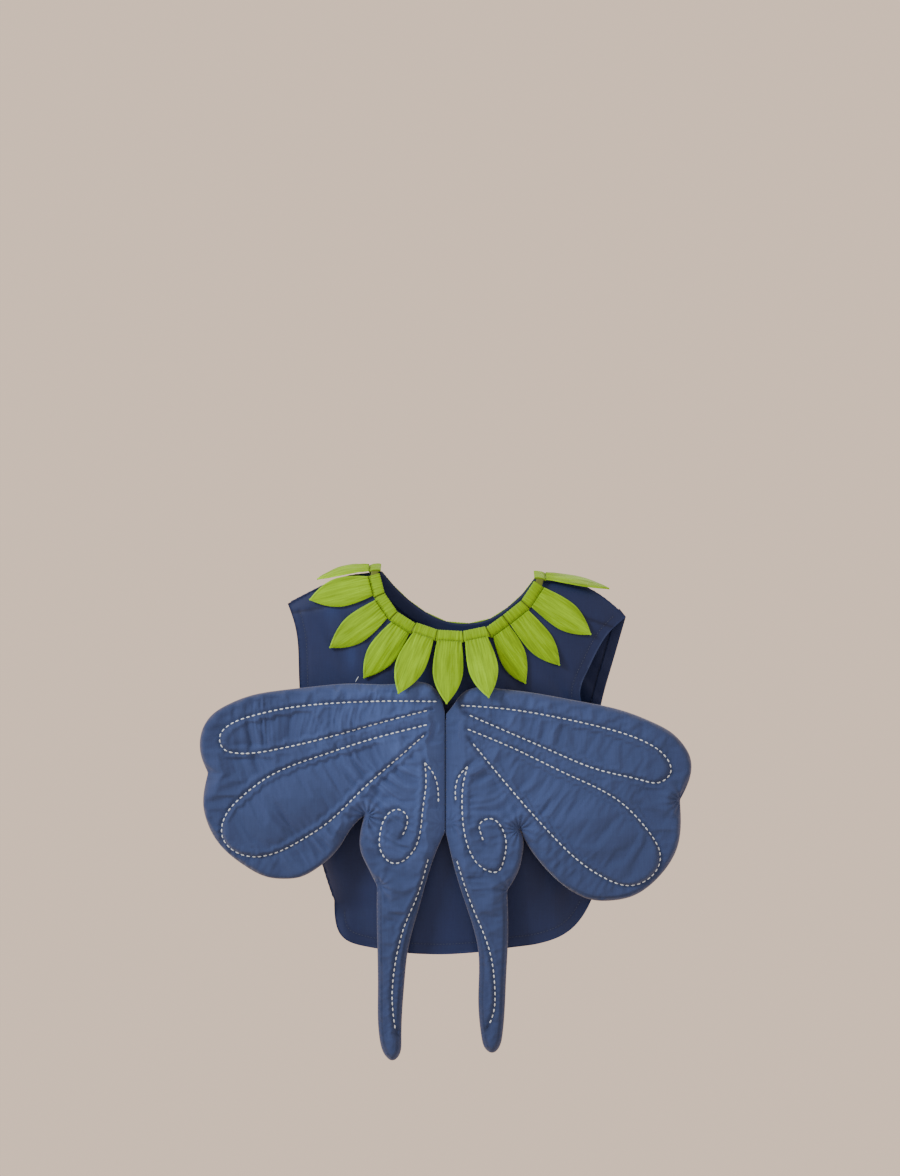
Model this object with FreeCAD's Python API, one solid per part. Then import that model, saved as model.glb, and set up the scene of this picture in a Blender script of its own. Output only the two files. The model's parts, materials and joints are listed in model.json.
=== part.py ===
# A child's fairy-wing vest: a sleeveless woven vest with an elastic collar of twenty leaves, and a pair of
# wadded wings sewn to its centre back. It is modelled as it hangs from its neck.
#
# Frame, in millimetres: +Z up, +X to the right of someone who looks at the wings, and -Y towards them.
# The origin is the middle of the neck opening, level with the inner ends of the shoulders.
# The wearer's back is the vest's -Y side, which carries the wings.
import FreeCAD, Part
import math
import os

Vector = FreeCAD.Vector

# ---- Vest: size and cloth ----
VEST_CLOTH = 1.2
VEST_HALF_WIDTH = 180.0
SIDE_HALF_DEPTH = 6.0
# Half of the vest's depth down its middle, as (height, half depth).
VEST_DEPTHS = [(20, 8.5), (-60, 20), (-150, 28), (-280, 31), (-420, 30)]
FRONT_HEM_RISE = 4.0
ARMPIT_Z = -165.0
FACING_CLOTH = 0.8
FACING_GAP = 0.15
ARMHOLE_FACING_WIDTH = 11.0
NECK_FACING_WIDTH = 15.0
HEM_DEPTH = 13.0
SEAM_CLOTH = 1.0
STRAP_HALF_WIDTH = 9.0
SIDE_SEAM_HALF_WIDTH = 7.5

# ---- Collar: twenty leaves round the neckline, each folded over the elastic ----
CASING_HEIGHT = 12.0
CASING_THICKNESS = 3.2
CASING_LIFT = 1.0
ELASTIC_WIDTH = 8.0
ELASTIC_THICKNESS = 1.0
ELASTIC_CLEARANCE = 0.3
LEAF_THICKNESS = 1.6
LEAF_LIFT = 1.8
LEAF_GAP = 1.6
LEAF_WIDEST_AT = 0.42
LEAF_TIP_HALF_WIDTH = 2.6
HINGE_GAP = 0.5

# ---- Wings ----
SEAM_X = -12.0
WING_TOP_Z = -140.0
WING_BACK_Y = -33.5
WING_THICKNESS = 18.0
WING_CLOTH = 1.3
WADDING_GAP = 0.25
COVER_GAP = 0.2
INSET_SPAN = 12.0
SEAM_GAP = 0.7
FLAP_MAX_DEG = 60.0
FOLD_EASE_DEG = 3.5
TAIL_FOLD_Z = -192.0
TAIL_FOLD_GAP = 0.5
TAIL_REACH_X = 90.0
DROOP = {"left": -0.060, "right": 0.060}
TAIL_DROP = {"left": 4.0, "right": -4.0}
TAIL_LEAN = {"left": 5.0, "right": -5.0}
LEAN_STARTS_Z = -120.0
LEAN_FULL_Z = -360.0
THREAD_WIDTH = 1.1
THREAD_HEIGHT = 0.7
THREAD_LIFT = 0.05

# ---- Centre back: tape and the seam allowance that holds the wings ----
TAPE_HALF_WIDTH = 9.0
TAPE_THICKNESS = 1.0
TAPE_TOP_Z = -152.0
TAPE_BOTTOM_Z = -276.0
TAPE_GAP = 0.1
FIN_THICKNESS = 0.6
FIN_INSET = 3.0
TACK_COUNT = 6
TACK_LENGTH = 7.0
TACK_WIDTH = 0.8
TACK_THICKNESS = 0.5
TACK_MARGIN = 2.0
TACK_INSET = 8.0
LABEL_SIZE = (22.0, 0.4, 34.0)
LABEL_X = -144.0
LABEL_Z = -300.0

WING_MID_Y = WING_BACK_Y - WING_THICKNESS / 2
WING_FRONT_Y = WING_BACK_Y - WING_THICKNESS

# Outlines are (x, z) points. A corner ends one smooth stretch and begins the next.
BACK_NECK = [(-81, -3), (-75.5, -24), (-62, -43.5), (-42.5, -56), (-20.5, -63.5), (6, -65), (30, -60), (47.5, -47.5),
             (67, -32), (81, -11)]
FRONT_NECK = [(-79, -1), (-66.5, -16), (-51, -31), (-33, -44), (-11, -54), (13, -56), (35, -51), (53, -39.5),
              (69, -25), (82, -8)]
RIGHT_SHOULDER = [(117, -12), (144, -22), (178, -49)]
LEFT_SHOULDER = [(-178, -35), (-147, -19), (-118, -7)]
BACK_RIGHT_ARMHOLE = [(178, -49), (160, -65), (138, -103), (129, -128), (148, ARMPIT_Z)]
FRONT_RIGHT_ARMHOLE = [(178, -49), (166, -92), (154, -135), (148, ARMPIT_Z)]
LEFT_ARMHOLE = [(-163, ARMPIT_Z), (-166, -102), (-170, -58), (-178, -35)]
RIGHT_SIDE = [(148, ARMPIT_Z), (150, -250), (143, -343)]
HEM = [(143, -343), (126, -370), (53, -394), (-15, -400), (-84, -395), (-121, -382), (-129, -347)]
LEFT_SIDE = [(-129, -347), (-142, -306), (-155, -230), (-163, ARMPIT_Z)]

# A wing's pattern is (distance from the centre seam, height above WING_TOP_Z), before it droops.
UPPER_LOBE = [(0, -11), (8, 12), (23, 19), (96, 16.5), (166, 6), (226, -11.5), (248.5, -31.5), (254, -50), (244.5, -82)]
LOWER_LOBE = [(244.5, -82), (247.5, -110), (240, -141), (219, -171), (182, -190), (142, -187), (109, -163), (81, -122)]
HIND_LOBE = [(81, -122), (85.5, -146), (78, -174), (67, -191)]
TAIL = [(67, -191), (66, -300), (61, -347), (50, -362), (41, -347), (38, -293), (30, -230), (12.5, -177), (0, -139)]
UPPER_LOOP = [(12, 2), (68, 0), (142, -9), (194, -21), (225, -36), (233.5, -48.5), (225, -63), (194, -62), (142, -48),
              (88, -32), (17, -6)]
LOWER_LOOP = [(21, -23), (81, -42.5), (134, -64.5), (179, -87), (211, -114), (226, -141), (217, -162), (192, -171.5),
              (158, -160.5), (110, -123), (61, -73), (22, -32)]
SPIRAL = [(43.5, -141), (36.5, -122), (46, -112), (60.5, -121.5), (64.5, -145), (56.5, -166), (38, -162), (24, -139.5),
          (19.5, -106), (19.5, -73), (22, -61)]
CRESCENT = [(22, -61), (10.5, -79), (8.5, -110)]
TAIL_LINE = [(15, -161), (34, -219), (48.5, -264), (53, -296), (51, -325), (47, -339)]

# The leaves' tips as (x, y, z). A y of None puts the tip on the vest. The three that reach over the wings stand
# in front of them. The collar runs left to right across the back, over the right shoulder, and back across
# the front.
BACK_TIPS = [(-154.5, None, -31), (-133, None, -81.5), (-97.5, None, -113), (-61, -61.0, -128.5),
             (-11, -59.5, -139), (33, -60.5, -133), (71, None, -119), (107, None, -100), (140, None, -68)]
RIGHT_SHOULDER_TIP = (161, -3.0, -14.5)
FRONT_TIPS = [(140, None, -56), (121, None, -89), (91, None, -115), (50, None, -132), (4, None, -137),
              (-44, None, -129), (-82, None, -109), (-112, None, -80), (-135, None, -50)]
LEFT_SHOULDER_TIP = (-148, 5.0, 1)
SHOULDER_LEAVES = (9, 19)
SHOULDER_LEAF_TILT = 0.35
SHOULDER_LEAF_RAISE = {9: 5.4, 19: 3.3}
LEAF_WIDTH = 28.0
LEAF_SPREAD = 1.2


def half_depth(x, z):
    """Distance of the vest's outer face from the plane between its front and back."""
    stations = VEST_DEPTHS
    for (z0, d0), (z1, d1) in zip(stations, stations[1:]):
        if z >= z1 or (z1, d1) == stations[-1]:
            middle = d0 + (d1 - d0) * (z - z0) / (z1 - z0)
            break
    return SIDE_HALF_DEPTH + (middle - SIDE_HALF_DEPTH) * (1 - (x / VEST_HALF_WIDTH) ** 2)


def at(x, y, z):
    return Vector(x, y, z)


def curve(points):
    """A smooth edge through 3-D points, or a straight one through two."""
    if len(points) == 2:
        return Part.makeLine(*points)
    spline = Part.BSplineCurve()
    spline.interpolate(points)
    return spline.toShape()


def flat_face(*stretches):
    """A face in the XZ plane whose outline is smooth (x, z) stretches, joined end to end."""
    edges = [curve([at(x, 0, z) for x, z in stretch]) for stretch in stretches]
    return Part.Face(Part.Wire(Part.__sortEdges__(edges)))


def inset(face, distance):
    """The face drawn in by a distance all round, with its curves redrawn as plain splines."""
    edges = []
    for edge in face.makeOffset2D(-distance).OuterWire.OrderedEdges:
        points = edge.discretize(max(2, int(edge.Length / INSET_SPAN) + 2))
        straight = edge.Curve.TypeId == "Part::GeomLine"
        edges.append(curve([points[0], points[-1]] if straight else points))
    return Part.Face(Part.Wire(Part.__sortEdges__(edges)))


def prism(face, y0, y1):
    """The face moved to y0 and pushed through to y1."""
    moved = face.translated(at(0, y0, 0))
    return moved.extrude(at(0, y1 - y0, 0))


def box(low, high):
    size = [b - a for a, b in zip(low, high)]
    return Part.makeBox(*size, Vector(*low))


def solids_only(shape):
    return shape.Solids[0] if len(shape.Solids) == 1 else Part.makeCompound(shape.Solids)


def export(name, shape):
    solids_only(shape).exportStep("parts/%s.step" % name)


# ---------------------------------------------------------------- vest

def vest_layer(side, outside, thickness):
    """A curved sheet the size of the vest. side is -1 for the back and 1 for the front, and outside is how far
    the sheet's outer face lies inside the vest's own."""
    sections = []
    reach = VEST_HALF_WIDTH + 8
    for z in (20, -20, -60, -105, -150, -215, -280, -350, -420):
        rows = []
        for inset in (outside, outside + thickness):
            columns = [-reach + i * reach / 4 for i in range(9)]
            rows.append([at(x, side * (half_depth(x, z) - inset), z) for x in columns])
        outer, inner = rows
        edges = [curve(outer), curve([outer[-1], inner[-1]]), curve(inner[::-1]), curve([inner[0], outer[0]])]
        sections.append(Part.Wire(edges))
    return Part.makeLoft(sections, True, False)


def panel_face(neck, right_armhole, hem_rise):
    right_shoulder = [neck[-1]] + RIGHT_SHOULDER
    left_shoulder = LEFT_SHOULDER + [neck[0]]
    hem = [HEM[0]] + [(x, z + hem_rise) for x, z in HEM[1:-1]] + [HEM[-1]]
    return flat_face(neck, right_shoulder, right_armhole, RIGHT_SIDE, hem, LEFT_SIDE, LEFT_ARMHOLE, left_shoulder)


def make_vest():
    """The two panels with their facings and folds, and the seams that join them."""
    faces = {
        "back": panel_face(BACK_NECK, BACK_RIGHT_ARMHOLE, 0.0),
        "front": panel_face(FRONT_NECK, FRONT_RIGHT_ARMHOLE, FRONT_HEM_RISE),
    }
    depth = 60.0
    for name, side in (("back", -1), ("front", 1)):
        face = faces[name]
        block = prism(face, 0, side * depth)
        export("vest_%s_panel" % name, vest_layer(side, 0, VEST_CLOTH).common(block))
        lining = vest_layer(side, VEST_CLOTH + FACING_GAP, FACING_CLOTH).common(block)

        def strip(shift, low, high, lining=lining, block=block):
            """The part of the lining within one shift of the edge, inside a box."""
            return lining.cut(block.translated(shift)).common(box(low, high))

        neck_facing = strip(at(0, 0, -NECK_FACING_WIDTH), (-88, -depth, -90), (88, depth, 20))
        export("neck_facing_%s" % name, neck_facing)
        export("hem_fold_%s" % name, strip(at(0, 0, HEM_DEPTH), (-170, -depth, -420), (170, depth, -345)))
        for hand, way in (("left", 1), ("right", -1)):
            low_x, high_x = sorted((-way * 185, -way * 100))
            facing = strip(at(way * ARMHOLE_FACING_WIDTH, 0, 0), (low_x, -depth, ARMPIT_Z + 4), (high_x, depth, -56))
            export("armhole_facing_%s_%s" % (hand, name), facing)

    outline = faces["back"].fuse(faces["front"]).removeSplitter().Faces[0]
    for hand, x0, x1 in (("left", -179, -98), ("right", 98, 179)):
        cap = prism(outline, -STRAP_HALF_WIDTH, STRAP_HALF_WIDTH)
        cap = cap.translated(at(0, 0, SEAM_CLOTH)).cut(cap)
        export("shoulder_seam_%s" % hand, cap.common(box((x0, -20, -60), (x1, 20, 20))))
    for hand, way in (("left", -1), ("right", 1)):
        core = prism(outline, -SIDE_SEAM_HALF_WIDTH, SIDE_SEAM_HALF_WIDTH)
        edge = core.translated(at(way * SEAM_CLOTH, 0, 0)).cut(core)
        low_x, high_x = sorted((way * 100, way * 190))
        export("side_seam_%s" % hand, edge.common(box((low_x, -20, -342), (high_x, 20, ARMPIT_Z - 2))))


# ---------------------------------------------------------------- collar

def ring_points():
    """The collar's corners round the neckline, on the vest's outer faces, and each leaf's tip."""
    back = [at(x, -half_depth(x, z), z) for x, z in BACK_NECK]
    front = [at(x, half_depth(x, z), z) for x, z in FRONT_NECK[::-1]]
    tips = []
    for side, group in ((-1, BACK_TIPS + [RIGHT_SHOULDER_TIP]), (1, FRONT_TIPS + [LEFT_SHOULDER_TIP])):
        for x, y, z in group:
            tips.append(at(x, side * half_depth(x, z) if y is None else y, z))
    return back + front, tips


def leaf_frames():
    """For each leaf: its middle on the neckline, its unit directions along the neckline, down the leaf and out
    from the vest, its half width there, and the length to its tip."""
    corners, tips = ring_points()
    frames = []
    for k, tip in enumerate(tips):
        a, b = corners[k], corners[(k + 1) % len(corners)]
        middle = (a + b) * 0.5
        along = (b - a).normalize()
        if k in SHOULDER_LEAVES:
            middle = middle + at(0, 0, SHOULDER_LEAF_RAISE[k])
            forward = 1 if k == 9 else -1
            along = at(0, forward, forward * SHOULDER_LEAF_TILT).normalize()
        down = tip - middle
        down = (down - along * down.dot(along)).normalize()
        out = down.cross(along)
        reach = (tip - middle).dot(down)
        slant = (tip - middle).dot(along)
        frames.append((middle, along, down, out, (b - a).Length / 2, reach, slant))
    return frames


def placed(frame, along, down, out):
    middle, u, d, n = frame[:4]
    return middle + u * along + d * down + n * out


def plate(frame, corners, low, high):
    """A flat plate in a leaf's plane, from its (along, down) corners, between two heights off the vest."""
    wire = Part.makePolygon([placed(frame, a, d, low) for a, d in corners + corners[:1]])
    return Part.Face(wire).extrude(frame[3] * (high - low))


def casing(frame):
    """The leaf's folded top, a flat sleeve with a way through for the elastic."""
    half = frame[4] - LEAF_GAP / 2
    low, high = CASING_LIFT, CASING_LIFT + CASING_THICKNESS
    sleeve = plate(frame, [(-half, 0), (half, 0), (half, CASING_HEIGHT), (-half, CASING_HEIGHT)], low, high)
    w = ELASTIC_WIDTH / 2 + ELASTIC_CLEARANCE
    t = ELASTIC_THICKNESS / 2 + ELASTIC_CLEARANCE
    mid_d, mid_n = CASING_HEIGHT / 2, (low + high) / 2
    hole = plate(frame, [(-40, mid_d - w), (40, mid_d - w), (40, mid_d + w), (-40, mid_d + w)], mid_n - t, mid_n + t)
    return sleeve.cut(hole)


def elastic_run(frame):
    """The stretch of elastic inside one leaf's casing."""
    half = frame[4] - LEAF_GAP / 2
    w, t = ELASTIC_WIDTH / 2, ELASTIC_THICKNESS / 2
    mid_d, mid_n = CASING_HEIGHT / 2, CASING_LIFT + CASING_THICKNESS / 2
    return plate(frame, [(-half, mid_d - w), (half, mid_d - w), (half, mid_d + w), (-half, mid_d + w)], mid_n - t,
                 mid_n + t)


def elastic_bridge(frame, after):
    """The short stretch that crosses from one casing to the next."""
    w, t = ELASTIC_WIDTH / 2, ELASTIC_THICKNESS / 2
    mid_d, mid_n = CASING_HEIGHT / 2, CASING_LIFT + CASING_THICKNESS / 2
    ends = []
    for f, side in ((frame, 1), (after, -1)):
        x = side * (f[4] - LEAF_GAP / 2)
        corners = [(mid_d - w, mid_n - t), (mid_d + w, mid_n - t), (mid_d + w, mid_n + t), (mid_d - w, mid_n + t)]
        ends.append(Part.makePolygon([placed(f, x, d, n) for d, n in corners + corners[:1]]))
    return Part.makeLoft(ends, True, True)


def leaf_blade(frame, width):
    """The free part of a leaf: a pointed oval from the casing's stitching to its tip."""
    half, reach, slant = frame[4] - LEAF_GAP / 2, frame[5], frame[6]
    start = CASING_HEIGHT + HINGE_GAP
    length = reach - start

    def edge_point(share, offset):
        return placed(frame, offset + slant * share, start + length * share, LEAF_LIFT)

    left_root, right_root = edge_point(0, -half), edge_point(0, half)
    left_side, right_side = (edge_point(LEAF_WIDEST_AT, s * width / 2) for s in (-1, 1))
    shoulder = 1 - LEAF_TIP_HALF_WIDTH / length
    left_tip, right_tip = (edge_point(shoulder, s * LEAF_TIP_HALF_WIDTH) for s in (-1, 1))
    edges = [
        Part.makeLine(left_root, right_root),
        Part.Arc(right_root, right_side, right_tip).toShape(),
        Part.Arc(right_tip, edge_point(1, 0), left_tip).toShape(),
        Part.Arc(left_tip, left_side, left_root).toShape(),
    ]
    return Part.Face(Part.Wire(edges)).extrude(frame[3] * LEAF_THICKNESS)


def make_collar():
    frames = leaf_frames()
    export("leaf_casings", Part.makeCompound([casing(f) for f in frames]))
    ring = elastic_run(frames[0])
    for k, f in enumerate(frames):
        after = frames[(k + 1) % len(frames)]
        ring = ring.fuse(elastic_bridge(f, after))
        if k:
            ring = ring.fuse(elastic_run(f))
    export("neck_elastic", ring)
    for k, f in enumerate(frames):
        width = min(LEAF_WIDTH, 2 * f[4] * LEAF_SPREAD)
        export("leaf_%02d" % (k + 1), leaf_blade(f, width))
        base = placed(f, 0, CASING_HEIGHT + HINGE_GAP, LEAF_LIFT + LEAF_THICKNESS)
        axis = f[2].cross(f[3])
        print("hinge leaf_%02d %s" % (k + 1, " ".join("%.4f" % c for c in list(base) + list(axis))))


# ---------------------------------------------------------------- wings

def smooth_step(t):
    t = min(1.0, max(0.0, t))
    return t * t * (3 - 2 * t)


def hang(point, hand):
    """A point of the wing's pattern as it hangs on one side of the vest."""
    out, up = point
    tail = smooth_step((-up - 150) / 60) if out < TAIL_REACH_X else 0.0
    lean = (LEAN_STARTS_Z - up) / (LEAN_STARTS_Z - LEAN_FULL_Z) if out < TAIL_REACH_X else 0.0
    drop = (1 - tail) * DROOP[hand] * out + tail * TAIL_DROP[hand]
    out += TAIL_LEAN[hand] * max(0.0, lean) * smooth_step(out / 20)
    way = -1 if hand == "left" else 1
    return SEAM_X + way * max(out, SEAM_GAP), WING_TOP_Z + up - drop


def wing_face(hand):
    stretches = [[hang(p, hand) for p in s] for s in (UPPER_LOBE, LOWER_LOBE, HIND_LOBE, TAIL)]
    stretches.append([stretches[-1][-1], stretches[0][0]])
    near_edge = SEAM_X - SEAM_GAP if hand == "left" else SEAM_X + SEAM_GAP - 100
    past_seam = box((near_edge, -1, -600), (near_edge + 100, 1, 0))
    return flat_face(*stretches).cut(past_seam)


def wedge(apex, opening, axis_vector, length):
    """A long prism with one edge on a fold line, spread by the opening angle to each side of -Y."""
    reach = 60.0
    across = axis_vector.cross(at(0, -1, 0))
    spread = math.tan(math.radians(min(opening, 89))) * reach
    corners = [apex, apex + at(0, -reach, 0) + across * spread, apex + at(0, -reach, 0) - across * spread]
    start = [c - axis_vector * (length / 2) for c in corners]
    return Part.Face(Part.makePolygon(start + start[:1])).extrude(axis_vector * length)


def fold_room():
    """The room that the wings need to fold at the centre seam."""
    return wedge(at(SEAM_X, WING_MID_Y, WING_TOP_Z + TAIL_FOLD_Z), FLAP_MAX_DEG + FOLD_EASE_DEG, at(0, 0, 1), 700)


def split_at_fold(shape):
    """The part of a wing above its tail's fold, and the tail below it."""
    fold_z = WING_TOP_Z + TAIL_FOLD_Z
    gap = TAIL_FOLD_GAP / 2
    low, high = (SEAM_X - TAIL_REACH_X, -100, -560), (SEAM_X + TAIL_REACH_X, 20, fold_z)
    below = box(low, (high[0], high[1], fold_z - gap))
    around = box(low, (high[0], high[1], fold_z + gap))
    return {"wing": shape.cut(around), "tail": shape.common(below)}


def make_wing(hand):
    """A wing and its tail: for each of them two covers, the wadding between, and the thread."""
    room = fold_room()
    inner_front, inner_back = WING_FRONT_Y + WING_CLOTH, WING_BACK_Y - WING_CLOTH
    for part, piece in split_at_fold(wing_face(hand)).items():
        outer = piece.Faces[0]
        hollow = inset(outer, WING_CLOTH)
        filling = inset(outer, WING_CLOTH + WADDING_GAP)
        covers = {
            "front_cover": (WING_MID_Y - COVER_GAP / 2, WING_FRONT_Y, inner_front),
            "back_cover": (WING_MID_Y + COVER_GAP / 2, WING_BACK_Y, inner_back),
        }
        for name, (seam_y, face_y, inner_y) in covers.items():
            cover = prism(outer, seam_y, face_y).cut(prism(hollow, WING_MID_Y, inner_y))
            export("%s_%s_%s" % (hand, part, name), cover.cut(room))
        wadding = prism(filling, inner_front + WADDING_GAP, inner_back - WADDING_GAP)
        export("%s_%s_wadding" % (hand, part), wadding.cut(room))

    lines = (UPPER_LOOP, LOWER_LOOP, SPIRAL, CRESCENT, TAIL_LINE)
    threads = Part.makeCompound([thread(line, hand) for line in lines])
    for part, piece in split_at_fold(threads.cut(room)).items():
        export("%s_%s_thread" % (hand, part), piece)


def thread(line, hand):
    """A row of stitches, as one thin flat strip that follows the line on the wing's front cover."""
    middle = curve([at(x, 0, z) for x, z in (hang(p, hand) for p in line)])
    count = max(8, int(middle.Length / 9))
    points = middle.discretize(count + 1)
    sides = []
    for i, p in enumerate(points):
        ahead = (points[min(i + 1, count)] - points[max(i - 1, 0)]).normalize()
        sides.append(ahead.cross(at(0, 1, 0)) * (THREAD_WIDTH / 2))
    rim = [p + s for p, s in zip(points, sides)] + [p - s for p, s in zip(points, sides)][::-1]
    face = Part.Face(Part.makePolygon(rim + rim[:1]))
    return prism(face, WING_FRONT_Y - THREAD_LIFT, WING_FRONT_Y - THREAD_LIFT - THREAD_HEIGHT)


# ---------------------------------------------------------------- centre back

def make_centre_back():
    """The tape on the vest's centre back, the wings' seam allowance that stands on it, and its tacks."""
    left, right = SEAM_X - TAPE_HALF_WIDTH, SEAM_X + TAPE_HALF_WIDTH
    around = box((left, -60, TAPE_BOTTOM_Z), (right, 0, TAPE_TOP_Z))
    tape_outside = -(TAPE_GAP + TAPE_THICKNESS)
    export("centre_back_tape", vest_layer(-1, tape_outside, TAPE_THICKNESS).common(around))

    fin_span = (TAPE_BOTTOM_Z + FIN_INSET, TAPE_TOP_Z - FIN_INSET)
    fin = box((SEAM_X - FIN_THICKNESS / 2, WING_MID_Y + COVER_GAP, fin_span[0]),
              (SEAM_X + FIN_THICKNESS / 2, -VEST_DEPTHS[1][1], fin_span[1]))
    behind_tape = vest_layer(-1, tape_outside - TAPE_GAP / 2, VEST_DEPTHS[1][1])
    export("wing_seam_allowance", fin.cut(behind_tape))

    stitches = vest_layer(-1, tape_outside - TAPE_GAP / 2 - TACK_THICKNESS, TACK_THICKNESS)
    tacks = []
    pitch = (TAPE_TOP_Z - TAPE_BOTTOM_Z - 2 * TACK_INSET) / (TACK_COUNT - 1)
    for i in range(TACK_COUNT):
        middle = TAPE_BOTTOM_Z + TACK_INSET + pitch * i
        for x in (left + TACK_MARGIN, right - TACK_MARGIN):
            low = (x - TACK_WIDTH / 2, -60, middle - TACK_LENGTH / 2)
            high = (x + TACK_WIDTH / 2, 0, middle + TACK_LENGTH / 2)
            tacks.append(stitches.common(box(low, high)))
    export("wing_tacks", Part.makeCompound(tacks))


def make_label():
    """The blank care label, sewn to the left side seam inside the vest."""
    width, thickness, height = LABEL_SIZE
    export("care_label", Part.makeBox(width, thickness, height, at(LABEL_X, -thickness / 2, LABEL_Z)))


def main():
    os.makedirs("parts", exist_ok=True)
    make_vest()
    make_collar()
    for hand in ("left", "right"):
        make_wing(hand)
    make_centre_back()
    make_label()


main()
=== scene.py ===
"""The looks of a child's fairy-wing vest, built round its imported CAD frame.

Wings and vest are described in millimetres in the frame's own axes: +X right, +Z up, and the wings face -Y.
"""
import bpy
import json
import math
import numpy as np
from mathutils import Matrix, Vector, geometry, noise
from mathutils.bvhtree import BVHTree
from mathutils.kdtree import KDTree


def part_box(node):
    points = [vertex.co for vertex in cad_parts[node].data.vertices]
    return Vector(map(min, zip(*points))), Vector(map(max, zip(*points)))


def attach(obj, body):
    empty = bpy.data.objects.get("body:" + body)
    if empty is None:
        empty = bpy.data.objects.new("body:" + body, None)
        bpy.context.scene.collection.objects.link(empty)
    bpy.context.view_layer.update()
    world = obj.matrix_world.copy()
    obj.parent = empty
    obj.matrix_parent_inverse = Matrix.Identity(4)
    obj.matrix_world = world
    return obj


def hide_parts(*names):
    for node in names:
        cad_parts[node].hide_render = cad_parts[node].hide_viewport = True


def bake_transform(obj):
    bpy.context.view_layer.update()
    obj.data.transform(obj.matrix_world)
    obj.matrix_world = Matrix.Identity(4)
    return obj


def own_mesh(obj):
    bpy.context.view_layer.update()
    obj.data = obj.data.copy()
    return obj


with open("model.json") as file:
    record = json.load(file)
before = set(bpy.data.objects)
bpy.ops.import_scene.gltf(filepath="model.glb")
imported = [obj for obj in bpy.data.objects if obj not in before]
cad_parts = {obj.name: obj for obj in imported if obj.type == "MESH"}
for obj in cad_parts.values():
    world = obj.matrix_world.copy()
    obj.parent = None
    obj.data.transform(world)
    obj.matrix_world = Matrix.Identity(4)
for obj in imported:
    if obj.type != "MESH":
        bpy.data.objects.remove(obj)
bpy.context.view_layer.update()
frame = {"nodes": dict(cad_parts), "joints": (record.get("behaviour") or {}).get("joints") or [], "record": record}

MM = 0.001
JOINTS = {joint["name"]: joint for joint in frame["joints"]}
SEAM_X, WING_MID_Y, _ = (c / MM for c in JOINTS["left_wing_flap"]["pos_m"])
WING_FRONT_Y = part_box("left_wing_front_cover")[0].y / MM
HALF_THICKNESS = WING_MID_Y - WING_FRONT_Y


# ---------------------------------------------------------------- curves

def natural_spline(points, step):
    """Evenly spaced points, about a step apart, on the natural cubic spline through the given ones."""
    p = np.array(points, float)
    if len(p) == 2:
        count = max(2, int(np.linalg.norm(p[1] - p[0]) / step) + 1)
        return p[0] + (p[1] - p[0]) * np.linspace(0, 1, count)[:, None]
    h = np.linalg.norm(np.diff(p, axis=0), axis=1)
    t = np.concatenate([[0], np.cumsum(h)])
    n = len(p)
    a, b = np.eye(n), np.zeros_like(p)
    for i in range(1, n - 1):
        a[i, i - 1:i + 2] = h[i - 1], 2 * (h[i - 1] + h[i]), h[i]
        b[i] = 6 * ((p[i + 1] - p[i]) / h[i] - (p[i] - p[i - 1]) / h[i - 1])
    m = np.linalg.solve(a, b)

    def at(u):
        k = np.clip(np.searchsorted(t, u, side="right") - 1, 0, n - 2)
        left, right, span = (t[k + 1] - u)[:, None], (u - t[k])[:, None], h[k][:, None]
        curve = m[k] * left ** 3 + m[k + 1] * right ** 3
        line = (p[k] / span - m[k] * span / 6) * left + (p[k + 1] / span - m[k + 1] * span / 6) * right
        return curve / (6 * span) + line

    fine = at(np.linspace(0, t[-1], 40 * n))
    run = np.concatenate([[0], np.cumsum(np.linalg.norm(np.diff(fine, axis=0), axis=1))])
    even = np.linspace(0, run[-1], max(2, int(round(run[-1] / step)) + 1))
    return np.stack([np.interp(even, run, fine[:, k]) for k in range(p.shape[1])], axis=1)


def closed_outline(stretches, step):
    """A closed loop of points from smooth stretches that are joined end to end."""
    return np.concatenate([natural_spline(s, step)[:-1] for s in stretches])


def nearest(points, samples):
    """For each point, the distance to the nearest sample and that sample's number."""
    tree = KDTree(len(samples))
    for i, s in enumerate(samples):
        tree.insert((s[0], s[1], 0), i)
    tree.balance()
    found = [tree.find((q[0], q[1], 0)) for q in points]
    return np.array([f[2] for f in found]), np.array([f[1] for f in found])


def smooth(t):
    t = np.clip(t, 0, 1)
    return t * t * (3 - 2 * t)


def wander(x, z, size, seed):
    """Smooth noise from -1 to 1 over a plane, with features of about that size."""
    scale = np.broadcast_to(np.array(size, float), (2,))
    pairs = np.broadcast_arrays(np.atleast_1d(x) / scale[0], np.atleast_1d(z) / scale[1])
    flat = [noise.noise((a, b, seed * 17.3)) for a, b in zip(*(v.ravel() for v in pairs))]
    return np.array(flat).reshape(pairs[0].shape)


# ---------------------------------------------------------------- meshes

def fill_outline(outline, lines, step):
    """Triangles that fill an outline and have edges along the lines: the points, the outline's first, and the
    triangles."""
    fixed = [outline] + list(lines)
    points, edges = [], []
    for number, line in enumerate(fixed):
        start = len(points)
        points.extend(line)
        edges.extend((start + i, start + i + 1) for i in range(len(line) - 1))
        if number == 0:
            edges.append((len(points) - 1, 0))
    fixed_points = np.array(points)
    low, high = outline.min(0), outline.max(0)
    rows = []
    for j, z in enumerate(np.arange(low[1], high[1], step * math.sqrt(3) / 2)):
        x = np.arange(low[0] + (j % 2) * step / 2, high[0], step)
        rows.append(np.stack([x, np.full_like(x, z)], axis=1))
    grid = np.concatenate(rows)
    gap, _ = nearest(grid, fixed_points)
    points.extend(grid[gap > 0.6 * step])
    made = geometry.delaunay_2d_cdt([Vector(p) for p in points], edges, [], 1, 1e-4)
    spots = np.array([tuple(v) for v in made[0]])
    return spots, [tuple(f) for f in made[2]]


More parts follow.
